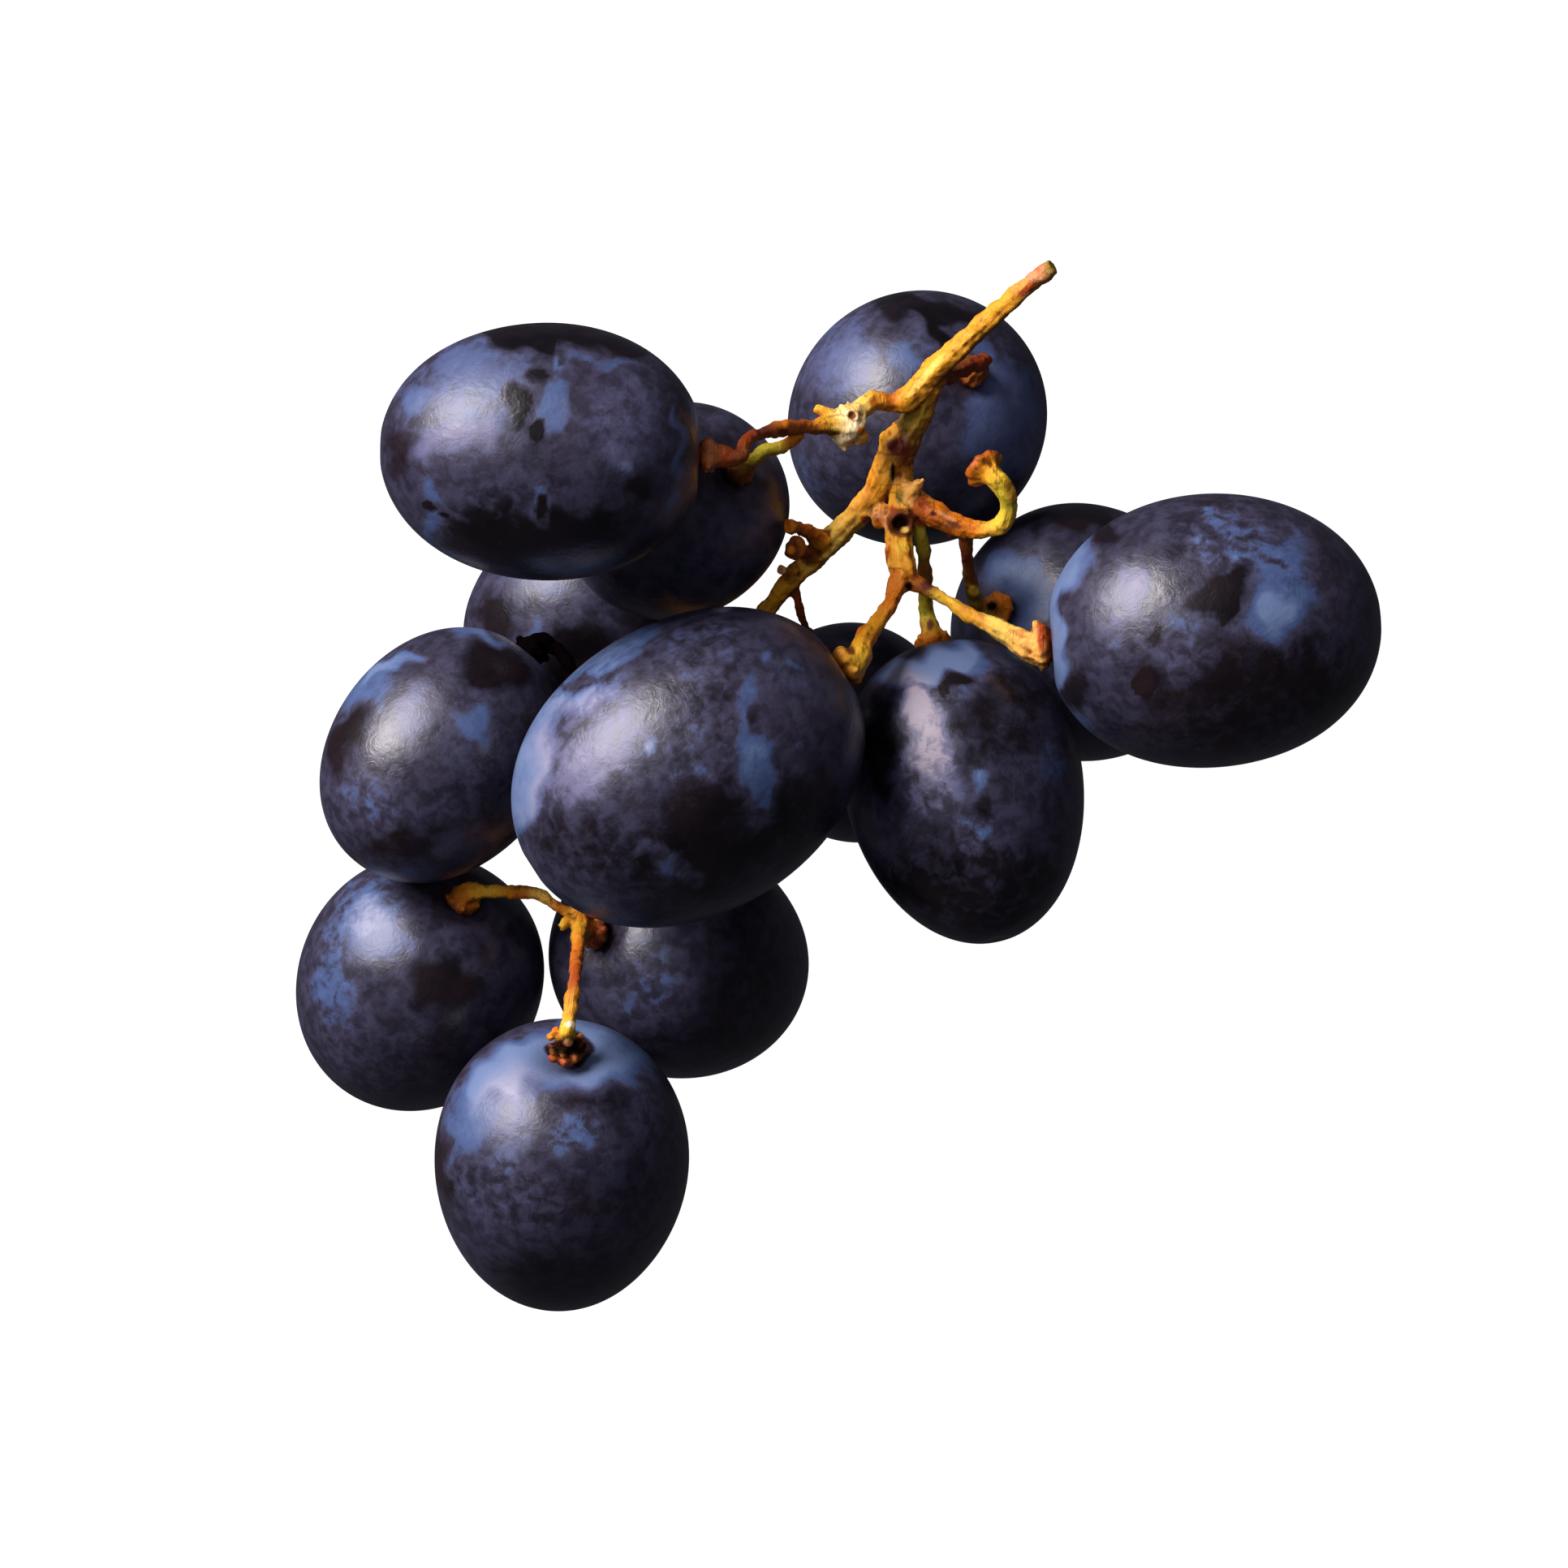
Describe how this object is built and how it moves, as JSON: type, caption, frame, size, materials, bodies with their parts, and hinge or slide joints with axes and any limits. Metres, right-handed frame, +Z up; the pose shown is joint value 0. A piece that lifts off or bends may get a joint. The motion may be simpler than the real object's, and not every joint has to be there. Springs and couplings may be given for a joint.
{
  "type": "bunch of grapes",
  "caption": "Loose bunch of oval dark table grapes on a thin branching stem with a bare cut stalk, lying on its side.",
  "frame": {"origin": "middle of the underside of the whole bunch's box, on the surface it lies on", "axes": "+Z up from the surface, +X to the right and +Y away as the bunch is seen from above with its cut stalk at the far right"},
  "size_m": [0.0862, 0.0828, 0.052],
  "materials": {
    "grape_skin": "satin skin with a powdery slate-blue bloom, rubbed dark purple-brown in patches",
    "stem": "dull fibrous golden-brown with yellow-green and red-brown parts"
  },
  "bodies": {
    "root": {"stem": "stem", "berry_a": "grape_skin", "berry_b": "grape_skin", "berry_c": "grape_skin", "berry_d": "grape_skin", "berry_e": "grape_skin", "berry_f": "grape_skin", "berry_g": "grape_skin", "berry_h": "grape_skin", "berry_i": "grape_skin", "berry_j": "grape_skin", "berry_k": "grape_skin", "berry_l": "grape_skin", "berry_m": "grape_skin"}
  },
  "joints": []
}
